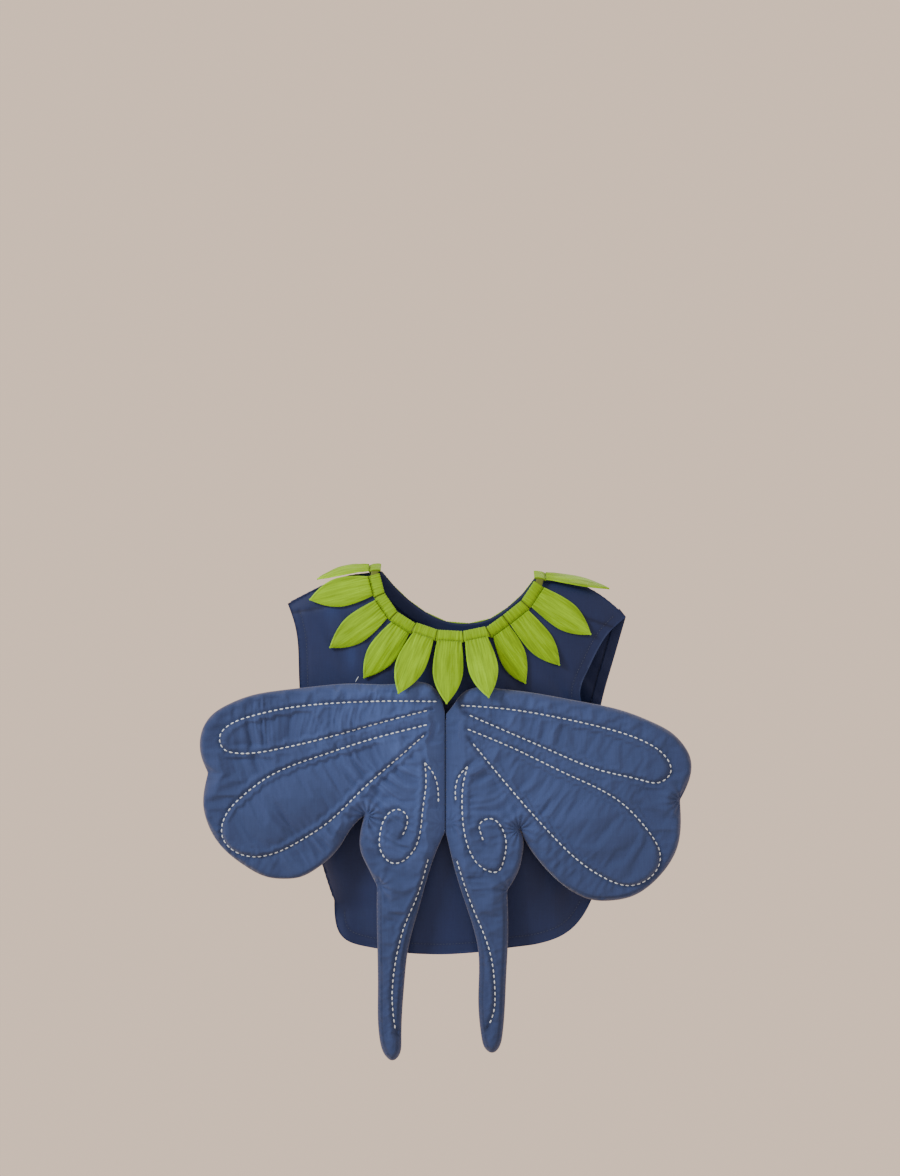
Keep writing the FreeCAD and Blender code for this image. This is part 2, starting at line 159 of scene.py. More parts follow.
def new_piece(name, vertices, faces, material):
    """A mesh object from points in millimetres."""
    mesh = bpy.data.meshes.new(name)
    mesh.from_pydata((np.array(vertices) * MM).tolist(), [], faces)
    mesh.validate()
    mesh.polygons.foreach_set("use_smooth", [True] * len(mesh.polygons))
    mesh.materials.append(material)
    piece = bpy.data.objects.new(name, mesh)
    bpy.context.scene.collection.objects.link(piece)
    return piece


def slab(name, outer, inner, material):
    """A closed piece between two grids of points, joined round their edges."""
    rows, columns = outer.shape[:2]
    count = rows * columns
    index = np.arange(count).reshape(rows, columns)
    faces = []
    for a, b, d, c in zip(index[:-1, :-1].ravel(), index[:-1, 1:].ravel(), index[1:, :-1].ravel(),
                          index[1:, 1:].ravel()):
        faces.append((a, b, c, d))
        faces.append((d + count, c + count, b + count, a + count))
    rim = list(index[0]) + list(index[1:, -1]) + list(index[-1, -2::-1]) + list(index[-2:0:-1, 0])
    for a, b in zip(rim, rim[1:] + rim[:1]):
        faces.append((b, a, a + count, b + count))
    faces = [tuple(int(i) for i in face) for face in faces]
    piece = new_piece(name, np.concatenate([outer.reshape(-1, 3), inner.reshape(-1, 3)]), faces, material)
    turn_outward(piece)
    return piece


def ring_faces(start, rings, sides):
    """The walls and the two end caps of a tube through rings of points, which begin at point start."""
    faces = []
    for i in range(rings - 1):
        for k in range(sides):
            a, b = start + i * sides + k, start + i * sides + (k + 1) % sides
            faces.append((a, b, b + sides, a + sides))
    last = start + (rings - 1) * sides
    faces.append(tuple(start + k for k in reversed(range(sides))))
    faces.append(tuple(last + k for k in range(sides)))
    return faces


def turn_outward(piece):
    """Turns the faces of a closed piece so that they face out of it."""
    points = points_of(piece)
    volume = 0.0
    for face in piece.data.polygons:
        a, *others = (points[i] for i in face.vertices)
        volume += sum(np.dot(a, np.cross(b, c)) for b, c in zip(others, others[1:]))
    if volume < 0:
        piece.data.flip_normals()


def dress(piece, grain, shade, body, replaces):
    """Gives a piece its grain and shade, hangs it on the body that it rides on, and hides the nodes that it
    replaces.
    """
    set_grain(piece, grain)
    set_values(piece, "shade", shade)
    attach(piece, body)
    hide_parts(*replaces)


def points_of(piece):
    flat = np.zeros(len(piece.data.vertices) * 3)
    piece.data.vertices.foreach_get("co", flat)
    return flat.reshape(-1, 3) / MM


def move_points(piece, points):
    piece.data.vertices.foreach_set("co", (points * MM).astype(np.float32).ravel())
    piece.data.update()


def apply_modifiers(piece):
    """Makes the piece's mesh what its modifiers show, and takes them off."""
    shown = piece.evaluated_get(bpy.context.evaluated_depsgraph_get())
    mesh = bpy.data.meshes.new_from_object(shown)
    old, name = piece.data, piece.data.name
    piece.modifiers.clear()
    piece.data = mesh
    bpy.data.meshes.remove(old)
    mesh.name = name


def subdivide(piece, levels):
    piece.modifiers.new("Subdivision", "SUBSURF").levels = levels
    apply_modifiers(piece)


def set_values(piece, name, values):
    """Stores one number for each point, which a material reads."""
    layer = piece.data.attributes.new(name, "FLOAT", "POINT")
    layer.data.foreach_set("value", np.asarray(values, np.float32))


def set_grain(piece, coordinates):
    """Stores each point's place along and across its own cloth, in metres, for the weave."""
    layer = piece.data.attributes.new("grain", "FLOAT_VECTOR", "POINT")
    layer.data.foreach_set("vector", (np.asarray(coordinates) * MM).astype(np.float32).ravel())


# ---------------------------------------------------------------- materials

def node(tree, kind, **settings):
    made = tree.nodes.new(kind)
    for key, value in settings.items():
        if key in made.inputs:
            made.inputs[key].default_value = value
        else:
            setattr(made, key, value)
    return made


def new_material(name, rough, sheen=0.0):
    made = bpy.data.materials.new(name)
    made.use_nodes = True
    shader = made.node_tree.nodes["Principled BSDF"]
    shader.inputs["Roughness"].default_value = rough
    shader.inputs["Sheen Weight"].default_value = sheen
    return made, made.node_tree, shader


WEAVE_RELIEF = 0.5
THREAD_STRETCH = 22


def cloth(name, color, pitch, streak, long, slub=0.5, rough=0.85, sheen=0.25, weft_share=1.0):
    """Woven cloth: crossed threads with thick places, tone that drifts, and a soft sheen. It reads each
    point's grain, and its shade, which holds painted shade in creases and grooves, painted highlights on folds and
    edges, and tone that drifts at random. The pitch is in mm."""
    made, tree, shader = new_material(name, rough, sheen)
    shader.inputs["Sheen Roughness"].default_value = 0.45
    shader.inputs["Specular IOR Level"].default_value = 0.25
    link = tree.links.new
    grain = node(tree, "ShaderNodeAttribute", attribute_name="grain")
    shade = node(tree, "ShaderNodeAttribute", attribute_name="shade")

    def stretched(scale, detail):
        """Noise stretched by a scale for each axis."""
        place = node(tree, "ShaderNodeMapping")
        place.inputs["Scale"].default_value = scale
        link(grain.outputs["Vector"], place.inputs["Vector"])
        tex = node(tree, "ShaderNodeTexNoise", Scale=1.0, Detail=detail, Roughness=0.6)
        link(place.outputs["Vector"], tex.inputs["Vector"])
        return tex.outputs["Fac"]

    def math_node(kind, a, b):
        made_node = node(tree, "ShaderNodeMath", operation=kind)
        for value, socket in ((a, made_node.inputs[0]), (b, made_node.inputs[1])):
            if isinstance(value, (int, float)):
                socket.default_value = value
            else:
                link(value, socket)
        return made_node.outputs[0]

    threads = 1 / (pitch * MM)
    warp = stretched((threads, threads / THREAD_STRETCH, 1), 2.0)
    weft = stretched((threads / THREAD_STRETCH, threads, 1), 2.0)
    drift = stretched((14, 11, 1), 3.0)
    long_slub = stretched((450, 26, 1), 3.0)
    centred = math_node("ADD", math_node("SUBTRACT", warp, 0.5),
                        math_node("MULTIPLY", math_node("SUBTRACT", weft, 0.5), weft_share))
    tone = math_node("ADD", math_node("MULTIPLY", centred, streak * 2),
                     math_node("MULTIPLY", math_node("SUBTRACT", long_slub, 0.5), long * 2))
    slow = math_node("MULTIPLY", math_node("SUBTRACT", drift, 0.5), 0.22)
    brightness = math_node("ADD", math_node("ADD", tone, slow), 1.0)
    brightness = math_node("MULTIPLY", brightness, shade.outputs["Fac"])
    paint = node(tree, "ShaderNodeMix", data_type="RGBA", blend_type="MULTIPLY")
    paint.inputs[0].default_value = 1.0
    paint.inputs[6].default_value = (*color, 1)
    grey = node(tree, "ShaderNodeCombineColor")
    for channel in range(3):
        link(brightness, grey.inputs[channel])
    link(grey.outputs["Color"], paint.inputs[7])
    link(paint.outputs[2], shader.inputs["Base Color"])

    raised = math_node("MULTIPLY", centred, slub)
    relief = node(tree, "ShaderNodeBump", Strength=WEAVE_RELIEF, Distance=0.4 * MM)
    link(raised, relief.inputs["Height"])
    link(relief.outputs["Normal"], shader.inputs["Normal"])
    return made


def thread_material(name, color, rough=0.7):
    """Twisted cotton: a fine ripple over a plain colour."""
    made, tree, shader = new_material(name, rough, 0.1)
    coordinates = node(tree, "ShaderNodeTexCoord")
    twist = node(tree, "ShaderNodeTexNoise", Scale=2600.0, Detail=2.0)
    tree.links.new(coordinates.outputs["Object"], twist.inputs["Vector"])
    ramp = node(tree, "ShaderNodeValToRGB")
    ramp.color_ramp.elements[0].color = (*(c * 0.95 for c in color), 1)
    ramp.color_ramp.elements[1].color = (*color, 1)
    tree.links.new(twist.outputs["Fac"], ramp.inputs["Fac"])
    tree.links.new(ramp.outputs["Color"], shader.inputs["Base Color"])
    relief = node(tree, "ShaderNodeBump", Strength=0.5, Distance=0.2 * MM)
    tree.links.new(twist.outputs["Fac"], relief.inputs["Height"])
    tree.links.new(relief.outputs["Normal"], shader.inputs["Normal"])
    return made


WING_BLUE = (0.037, 0.070, 0.205)
VEST_BLUE = (0.0108, 0.0250, 0.0990)
LEAF_GREEN = (0.210, 0.450, 0.000)
THREAD_WHITE = (0.70, 0.86, 1.00)
wing_cloth = cloth("wing_cloth", WING_BLUE, pitch=0.7, streak=0.12, weft_share=0.6, long=0.10)
vest_cloth = cloth("vest_cloth", VEST_BLUE, pitch=0.7, streak=0.14, sheen=0.12, rough=0.60, long=0.10)
leaf_cloth = cloth("leaf_cloth", LEAF_GREEN, pitch=0.8, slub=0.8, streak=0.34, rough=0.72, sheen=0.12,
                   weft_share=0.25, long=0.55)
white_thread = thread_material("white_thread", THREAD_WHITE)
blue_thread = thread_material("blue_thread", (0.035, 0.055, 0.12))
green_thread = thread_material("green_thread", (0.15, 0.26, 0.005))
elastic_material = thread_material("green_elastic", (0.10, 0.15, 0.01))
label_material = thread_material("label_cloth", (0.75, 0.75, 0.72))
wadding_material = thread_material("wadding_fibre", (0.78, 0.77, 0.74), 0.95)


# ---------------------------------------------------------------- stitches

def stitch_mesh(runs, radius, height):
    """Short round-ended stitches. Each run is (points, normals) sampled along one stitch, in millimetres."""
    vertices, faces = [], []
    sides = 7
    for points, normals in runs:
        rings = len(points)
        start = len(vertices)
        ahead = np.gradient(points, axis=0)
        ahead /= np.linalg.norm(ahead, axis=1)[:, None]
        across = np.cross(ahead, normals)
        for i in range(rings):
            share = i / (rings - 1) * 2 - 1
            swell = math.sqrt(max(0.10, 1 - share ** 6))
            sink = -0.45 * height * share ** 8
            for k in range(sides):
                angle = 2 * math.pi * k / sides
                side = across[i] * (math.cos(angle) * radius * swell)
                up = normals[i] * (math.sin(angle) * height * swell + sink)
                vertices.append(points[i] + side + up)
        faces += ring_faces(start, rings, sides)
    return vertices, faces


def running_stitches(line, surface, way, pitch, length, first=0.0, lift=0.1):
    """The runs of a row of stitches along an (x, z) line, laid on a surface that is seen along +Y or -Y."""
    fine = natural_spline(line, 0.5)
    count = max(1, int((len(fine) * 0.5 - first) / pitch))
    runs = []
    for number in range(count):
        start = int((first + number * pitch) / 0.5)
        piece = fine[start:start + int(length / 0.5) + 1]
        if len(piece) < 5:
            continue
        piece = piece[np.linspace(0, len(piece) - 1, 5).astype(int)]
        points, normals = [], []
        for x, z in piece:
            origin = Vector((x * MM, -0.3 * way, z * MM))
            hit, normal, _, _ = surface.ray_cast(origin, Vector((0, way, 0)))
            if hit is None:
                break
            normal = normal if normal.y * way < 0 else -normal
            points.append(np.array(hit) / MM + np.array(normal) * lift)
            normals.append(np.array(normal))
        if len(points) == 5:
            runs.append((np.array(points), np.array(normals)))
    return runs


def vest_stitches(name, runs, radius, height, material):
    """Stitches that ride on the vest."""
    piece = new_piece(name, *stitch_mesh(runs, radius, height), material)
    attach(piece, "vest")
    return piece


def surface_of(piece):
    mesh = piece.data
    return BVHTree.FromPolygons([v.co for v in mesh.vertices], [p.vertices for p in mesh.polygons])


# ---------------------------------------------------------------- wings

WINGS = {
    "left": {
        "outline": [
            [(-12, -150), (-17, -132), (-26, -120), (-66, -118), (-106, -117.5), (-152, -121),
             (-187, -125), (-214, -130), (-237, -139), (-254, -150), (-263, -163), (-266.5, -178),
             (-265, -193), (-258, -210)],
            [(-258, -210), (-262, -228), (-263, -243), (-260, -258), (-247, -283), (-219, -307),
             (-197, -318), (-180, -320), (-162, -318), (-145, -309), (-121, -286), (-109, -267),
             (-96, -254)],
            [(-96, -254), (-100, -271), (-100, -291), (-94, -305), (-83, -327)],
            [(-83, -327), (-83, -367), (-82, -434), (-79.5, -490), (-74.5, -503), (-66.5, -508.5),
             (-60, -503), (-57.5, -488), (-54, -422), (-51, -395), (-38, -345), (-25, -301), (-12, -270)],
            [(-12, -270), (-12, -150)]],
        "lines": [
            [(-21, -136), (-71, -135.5), (-125, -137.5), (-177, -143), (-214, -151.5), (-235, -160),
             (-245, -172), (-241, -185), (-230, -189), (-214, -189.5), (-190, -186), (-141, -175),
             (-89, -160.5), (-26, -144)],
            [(-31, -160), (-89, -175), (-143, -192.5), (-190, -211), (-222, -234), (-241, -258),
             (-242, -277), (-223, -294), (-197, -295), (-165, -281.5), (-130, -258), (-98, -227),
             (-62, -195), (-32, -169)],
            [(-33.5, -199), (-32, -219), (-35, -245), (-38, -270), (-49, -295), (-66, -303), (-78, -292),
             (-79, -270), (-71, -252), (-61, -247.5), (-52, -254), (-53, -267), (-58, -277)],
            [(-33.5, -199), (-26, -208), (-20.5, -222), (-19.5, -246)],
            [(-30, -299), (-42, -339), (-52, -362), (-64, -407), (-67, -445), (-63, -481)]],
        "wrinkles": 1.0,
        "puckers": [(-93, -254, 13, 1.0), (-80, -326, 9, 0.8), (-16, -262, 11, 0.7)],
        "fold": ((-0.088, 0, -0.312), (-0.058, 0, -0.368)),
    },
    "right": {
        "outline": [
            [(-12, -150), (-4, -140), (5, -128), (14, -123), (41, -122.5), (71, -126), (125, -135.5),
             (170, -145), (205, -158.5), (222, -168), (234, -180), (242, -195), (242.5, -210),
             (231, -238)],
            [(231, -238), (232, -262), (227, -291), (217, -308.5), (203, -324), (184, -337),
             (160, -342.5), (139, -341.5), (121, -334), (88, -305), (69, -277), (65, -268)],
            [(65, -268), (69, -281), (68, -293), (65, -308), (52, -332)],
            [(52, -332), (53, -378), (51, -422), (47, -483), (43.5, -495), (37, -500.5), (30, -497),
             (25.5, -485), (22, -445), (22, -395), (15.5, -366), (1, -322), (-12, -270)],
            [(-12, -270), (-12, -150)]],
        "lines": [
            [(4, -140), (54, -144), (107, -153), (157, -164.5), (197, -179), (217, -195), (221, -208),
             (209, -219.5), (192, -217.5), (148, -207), (103.5, -189.5), (54, -168), (8, -148)],
            [(11, -164.5), (62, -186), (116, -212), (165, -237), (197, -269), (210, -299), (205, -312),
             (180, -326), (152, -318), (133.5, -306.5), (98, -274), (62, -234), (12.5, -174.5)],
            [(11, -203), (7.5, -216), (5.5, -250), (11.5, -286), (29, -309.5), (41, -312), (48.5, -299),
             (48, -270), (34, -257), (23.5, -263), (24.5, -272), (29, -284.5)],
            [(11, -203), (3, -212), (-0.5, -220), (-1, -241)],
            [(0, -301), (15.5, -347), (34, -395), (39, -432), (37.5, -458), (31, -475)]],
        "wrinkles": 0.55,
        "puckers": [(63, -268, 13, 1.0), (231, -238, 12, 1.0), (54, -331, 9, 0.8), (-8, -262, 11, 0.7)],
        "fold": ((0.058, 0, -0.312), (0.028, 0, -0.368)),
    },
}
# This line starts where the one before it does, and is cut short there so that no two points coincide.
SHARED_START = 3
MESH_STEP = 4.2
RIM_ROUND = 17.0
STITCH_SQUEEZE = 0.70
# The wings thicken away from the seam no faster than this, so that both can fold to 60 degrees.
SEAM_SLOPE = 0.50
SEAM_GAP = 0.65
STITCH_PITCH = 5.9
STITCH_LENGTH = 4.4
THREAD_RADIUS = 0.80
THREAD_HEIGHT = 0.50
LOFT_CAP = 7.0
PLAYS = 22
PRESSURE = 4
FAN_CENTRE_Z = -150
TAIL_TOP_Z = -285


def pad_height(points, rim):
    """Half of a wing's thickness at each (x, z) point, before the filling pushes it out."""
    gap, _ = nearest(points, rim)
    share = np.clip(gap / RIM_ROUND, 0, 1)
    height = HALF_THICKNESS * np.sqrt(1 - (1 - share) ** 2)
    return np.minimum(height, SEAM_SLOPE * np.abs(points[:, 0] - SEAM_X) + 0.05)


def inflate(piece, pins, start_points, slack):
    """Blows a closed cloth bag up with its pinned points held, and keeps every point near its start."""
    group = piece.vertex_groups.new(name="held")
    group.add([int(i) for i in np.nonzero(pins)[0]], 1.0, "REPLACE")
    cloth_modifier = piece.modifiers.new("Cloth", "CLOTH")
    rules = cloth_modifier.settings
    rules.quality = 6
    rules.mass = 0.12
    rules.tension_stiffness = rules.compression_stiffness = 12
    rules.shear_stiffness = 4
    rules.bending_stiffness = 0.08
    rules.use_pressure = True
    rules.uniform_pressure_force = PRESSURE
    rules.shrink_min = -slack
    rules.vertex_group_mass = "held"
    rules.effector_weights.gravity = 0
    cloth_modifier.point_cache.frame_end = PLAYS
    for moment in range(1, PLAYS + 1):
        bpy.context.scene.frame_set(moment)
    apply_modifiers(piece)
    shift = points_of(piece) - start_points
    length = np.linalg.norm(shift, axis=1)
    keep = np.minimum(1, LOFT_CAP / np.maximum(length, 1e-6))
    move_points(piece, start_points + shift * keep[:, None])
    bpy.context.scene.frame_set(1)


def make_wing(hand):
    plan = WINGS[hand]
    rim = closed_outline(plan["outline"], MESH_STEP * 0.9)
    lines = [natural_spline(line, MESH_STEP * 0.9) for line in plan["lines"]]
    lines[SHARED_START] = lines[SHARED_START][2:]
    flat, triangles = fill_outline(rim, lines, MESH_STEP)
    on_rim = np.arange(len(flat)) < len(rim)
    on_line = nearest(flat, np.concatenate(lines))[0] < 0.05
    height = pad_height(flat, closed_outline(plan["outline"], 1.0))
    height[on_rim] = 0
    height[on_line] *= STITCH_SQUEEZE

    count = len(flat)
    other = np.full(count, -1)
    back = np.nonzero(~on_rim)[0]
    other[back] = count + np.arange(len(back))
    other[on_rim] = np.nonzero(on_rim)[0]
    front_points = np.stack([flat[:, 0], WING_MID_Y - height, flat[:, 1]], axis=1)
    back_points = np.stack([flat[back, 0], WING_MID_Y + height[back], flat[back, 1]], axis=1)
    points = np.concatenate([front_points, back_points])
    faces = [tuple(f) for f in triangles] + [tuple(int(other[i]) for i in reversed(f)) for f in triangles]
    piece = new_piece("%s_wing_pad" % hand, points, faces, wing_cloth)
    pins = np.concatenate([on_rim | on_line, on_line[back]])
    inflate(piece, pins, points, 0.035 + 0.03 * plan["wrinkles"])
    crease_rim(piece, len(rim))
    subdivide(piece, 2)
    finish_pad(piece, plan)
    ride_wing(piece)
    parts = ("front_cover", "back_cover", "wadding")
    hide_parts(*["%s_%s_%s" % (hand, part, name) for part in ("wing", "tail") for name in parts])

    surface = surface_of(piece)
    runs = []
    for line in plan["lines"]:
        runs += running_stitches(line, surface, 1, STITCH_PITCH, STITCH_LENGTH)
        runs += running_stitches(line, surface, -1, STITCH_PITCH, STITCH_LENGTH, first=STITCH_PITCH / 2)
    thread = stitch_mesh(runs, THREAD_RADIUS, THREAD_HEIGHT)
    stitches = new_piece("%s_wing_stitches" % hand, *thread, white_thread)
    ride_wing(stitches)
    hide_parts("%s_wing_thread" % hand, "%s_tail_thread" % hand)


def crease_rim(piece, count):
    """Keeps the seam round a pad sharp where the pad is subdivided. The rim's points come first."""
    mesh = piece.data
    crease = mesh.attributes.new("crease_edge", "FLOAT", "EDGE")
    rim_edge = [float((e.vertices[1] - e.vertices[0]) % count in (1, count - 1) and max(e.vertices) < count)
                for e in mesh.edges]
    crease.data.foreach_set("value", rim_edge)


def ride_wing(piece):
    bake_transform(piece)


def finish_pad(piece, plan):
    """Creases, puckers and wrinkles, which run across the rows of stitches, and the shade of each point."""
    points = points_of(piece)
    x, z = points[:, 0], points[:, 2]
    flat = points[:, [0, 2]]
    samples = [natural_spline(line, 1.0) for line in plan["lines"]]
    run = np.concatenate([np.arange(len(s)) * 1.0 for s in samples])
    off_line, number = nearest(flat, np.concatenate(samples))
    run = run[number]
    off_rim, _ = nearest(flat, closed_outline(plan["outline"], 1.0))
    side = np.where(points[:, 1] < WING_MID_Y, -1.0, 1.0)

    reach = np.hypot(x - SEAM_X, z - FAN_CENTRE_Z)
    turn = np.arctan2(-(z - FAN_CENTRE_Z), np.abs(x - SEAM_X)) * 90
    warped = reach + 7 * wander(x, z, 38, 1)
    folds = 1.5 * wander(warped, turn, (6.4, 40), 2) + 0.7 * wander(warped, turn, (3.4, 26), 3)
    middle = smooth((reach - 20) / 40) * smooth((250 - reach) / 60) * smooth(off_rim / 14)
    patches = smooth(0.5 + 0.9 * wander(x, z, 60, 4))
    depth = 1.9 * plan["wrinkles"] * middle * patches * (0.35 + 0.65 * smooth(off_line / 9))
    change = depth * folds
    creases = np.zeros_like(x)

    valley = np.exp(-(off_line / 2.6) ** 2)
    change -= 0.75 * valley * smooth(off_rim / 6)
    pucker = np.exp(-(off_line / 5.5) ** 2) * np.cos(2 * math.pi * run / STITCH_PITCH)
    change += 0.22 * pucker * smooth(off_rim / 8)
    for spot_x, spot_z, spread, side_on in plan["puckers"]:
        away = np.hypot(x - spot_x, z - spot_z)
        round_it = np.arctan2(z - spot_z, x - spot_x)
        rays = np.cos(round_it * spread + 2 * wander(x, z, 20, 15)) * np.exp(-away / 17) * smooth(away / 5)
        change += side_on * 1.1 * rays
        folds = folds + 1.6 * rays
        creases = np.maximum(creases, np.exp(-(away / 24) ** 2))
    rim_pull = np.exp(-(off_rim / 6) ** 2) * wander(x, z, 7, 5)
    change += 0.5 * rim_pull * smooth(off_rim / 2.5)
    change += 0.45 * wander(x, z, 22, 6) * smooth(off_rim / 12)
    near_seam = smooth((np.abs(x - SEAM_X) - 1) / 14)
    points[:, 1] += side * change * np.where(z > TAIL_TOP_Z, near_seam, 1.0)
    gusset = np.exp(-((off_rim - 4.5) / 0.9) ** 2) * smooth((-z - 318) / 20)
    points[:, 1] -= side * 0.5 * gusset
    hand = np.sign(np.mean(x) - SEAM_X)
    points[:, 0] = SEAM_X + hand * np.maximum(hand * (x - SEAM_X), SEAM_GAP)
    room = np.maximum(SEAM_SLOPE * (np.abs(points[:, 0] - SEAM_X) - 0.4), 0.12)
    points[:, 1] = np.clip(points[:, 1], WING_MID_Y - room, WING_MID_Y + room)
    move_points(piece, points)
    set_grain(piece, np.stack([x, z, np.zeros_like(x)], axis=1))
    # Painted shade: darker in the stitch grooves, along the rim's seam and in the gusset groove round the tails.
    shade = 1.0 - 0.25 * valley - 0.20 * np.exp(-(off_rim / 5) ** 2) - 0.25 * gusset
    # Painted light and shade that follow the wrinkles and puckers, and some tone that drifts at random.
    creased = np.maximum(middle * patches * (0.35 + 0.65 * plan["wrinkles"]),
                         0.5 * smooth(off_rim / 4) * creases)
    shade += 0.22 * np.clip(folds, -1, 1) * creased + 0.06 * wander(x, z, 70, 9)
    # Painted light: the wings lighter near the seam and darker outward, the left wing lighter and the right one
    # darker near the seam.
    shade *= 1.20 - 0.36 * smooth((reach - 60) / 190) - 0.13 * hand * (1 - smooth((reach - 30) / 140))
    set_values(piece, "shade", shade)


# ---------------------------------------------------------------- vest

VEST_DEPTHS = [(20, 8.5), (-60, 20), (-150, 28), (-280, 31), (-420, 30)]
VEST_HALF_WIDTH = 180.0
SIDE_HALF_DEPTH = 6.0
CLOTH_THICKNESS = 1.2
FACING_THICKNESS = 0.8
FACING_GAP = 0.15
FACING_WIDTHS = {"neck": 15.0, "hem": 13.0, "armhole": 11.0}
FRONT_HEM_RISE = 4.0
PANEL_STEP = 2.6
EDGE_STEP = 2.4
BACK_NECK = [(-81, -3), (-75.5, -24), (-62, -43.5), (-42.5, -56), (-20.5, -63.5), (6, -65), (30, -60),
             (47.5, -47.5), (67, -32), (81, -11)]
FRONT_NECK = [(-79, -1), (-66.5, -16), (-51, -31), (-33, -44), (-11, -54), (13, -56), (35, -51), (53, -39.5),
              (69, -25), (82, -8)]
RIGHT_SHOULDER = [(117, -12), (144, -22), (178, -49)]
LEFT_SHOULDER = [(-178, -35), (-147, -19), (-118, -7)]
RIGHT_ARMHOLES = {"back": [(178, -49), (160, -65), (138, -103), (129, -128), (148, -165)],
                  "front": [(178, -49), (166, -92), (154, -135), (148, -165)]}
LEFT_ARMHOLE = [(-163, -165), (-166, -102), (-170, -58), (-178, -35)]
RIGHT_SIDE = [(148, -165), (150, -250), (143, -343)]
HEM = [(143, -343), (126, -370), (53, -394), (-15, -400), (-84, -395), (-121, -382), (-129, -347)]
LEFT_SIDE = [(-129, -347), (-142, -306), (-155, -230), (-163, -165)]


def half_depth(x, z):
    heights, depths = zip(*reversed(VEST_DEPTHS))
    middle = np.interp(z, heights, depths)
    return SIDE_HALF_DEPTH + (middle - SIDE_HALF_DEPTH) * (1 - (x / VEST_HALF_WIDTH) ** 2)


def closed_edges():
    """Points on the seams where the two panels meet: the shoulders and the sides."""
    left, right = LEFT_SHOULDER + [BACK_NECK[0]], [BACK_NECK[-1]] + RIGHT_SHOULDER
    return np.concatenate([natural_spline(s, 2.0) for s in (left, right, RIGHT_SIDE, LEFT_SIDE)])


SEAM_SAMPLES = closed_edges()


def vest_y(x, z, side, inside=0.0):
    """The vest's outer face, or a layer that much inside it, as the cloth hangs in its soft folds."""
    x, z = np.asarray(x, float), np.asarray(z, float)
    off_seam, _ = nearest(np.stack([x, z], axis=1), SEAM_SAMPLES)
    share = np.clip(off_seam / (26 + 44 * smooth((-z - 315) / 45)), 0, 1)
    depth = half_depth(x, z) * np.sqrt(1 - (1 - share) ** 2)
    low = smooth((-z - 170) / 200)
    drape = 3.4 * np.sin(2 * math.pi * (x + 0.16 * z) / 74 + 1.1 * side)
    drape += 2.6 * wander(x, z, (34, 120), 7 + side)
    high = smooth((z + 215) / 60) * smooth((-z - 20) / 40)
    drag = wander(x + 0.8 * z, z - 0.5 * np.abs(x), (16, 60), 11 + side)
    fold = low * drape + 1.7 * high * drag + 0.5 * wander(x, z, 17, 13 + side)
    held = smooth((np.abs(x - SEAM_X) - 8) / 46) if side < 0 else 1.0
    room = 0.2 + 1.0 * smooth((-z - 135) / 50)
    fold = np.minimum(fold * held * smooth(off_seam / 30), room)
    return side * (np.maximum(depth + fold, 2.9) - inside)


def panel_stretches(name):
    neck = BACK_NECK if name == "back" else FRONT_NECK
    rise = 0.0 if name == "back" else FRONT_HEM_RISE
    hem = [HEM[0]] + [(x, z + rise) for x, z in HEM[1:-1]] + [HEM[-1]]
    return [neck, [neck[-1]] + RIGHT_SHOULDER, RIGHT_ARMHOLES[name], RIGHT_SIDE, hem, LEFT_SIDE, LEFT_ARMHOLE,
            LEFT_SHOULDER + [neck[0]]]


BACK_SHOULDER_LINES = [[(-174, -44.5), (-139.7, -38.3), (-84, -22)],
                       [(163, -59.5), (134.5, -49.7), (88, -30)]]
# Painted sheen highlights on the back panel: each spot's x and z, and its spread across and down, in millimetres.
SHEEN_SPOTS = [(-131, -34, 9, 15), (-111, -88, 7, 20)]
HEM_STITCH = 10.5
ARMHOLE_STITCH = 9.0


def drawn_in(edge, distance):
    """The edge moved into the panel. Edges run clockwise round the panel, as it is seen along +Y."""
    ahead = np.gradient(edge, axis=0)
    ahead /= np.linalg.norm(ahead, axis=1)[:, None]
    return edge + np.stack([ahead[:, 1], -ahead[:, 0]], axis=1) * distance


